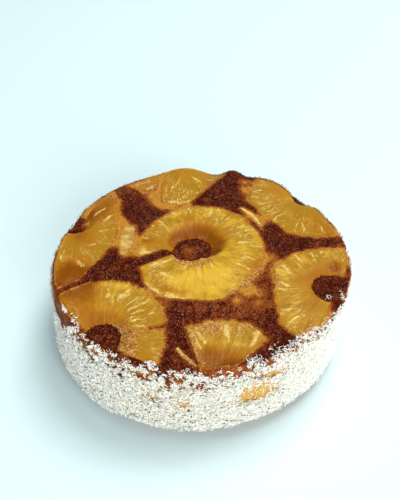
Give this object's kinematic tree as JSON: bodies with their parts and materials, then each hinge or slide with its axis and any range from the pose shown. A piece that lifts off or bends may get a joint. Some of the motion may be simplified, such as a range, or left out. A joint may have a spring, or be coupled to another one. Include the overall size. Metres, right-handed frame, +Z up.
{
  "type": "pineapple upside down cake",
  "caption": "Round upside down sponge cake with cut pineapple rings baked into its caramelised top and desiccated coconut coating its side, standing on a flat base.",
  "frame": {"origin": "centre of the cake's bounding box at its flat base", "axes": "+Z up through the cake, -Y towards the front as pictured, +X to the right"},
  "size_m": [0.2036, 0.2018, 0.0655],
  "materials": {
    "crumb": "moist caramelised sponge crumb, dark brown",
    "coconut": "dry desiccated coconut, off white",
    "pineapple": "syrupy baked pineapple, golden and slightly translucent",
    "pale_pineapple": "pale fibrous pineapple edge"
  },
  "bodies": {
    "root": {"sponge": "crumb", "ring_centre": "pineapple", "ring_left": "pineapple", "ring_left_top": "pineapple", "ring_front_left": "pineapple", "ring_front_left_end": "pineapple", "ring_front": "pineapple", "ring_right": "pineapple", "ring_back_right": "pineapple", "ring_back": "pineapple", "ring_back_left": "pineapple", "sliver_left": "pale_pineapple"}
  },
  "joints": []
}
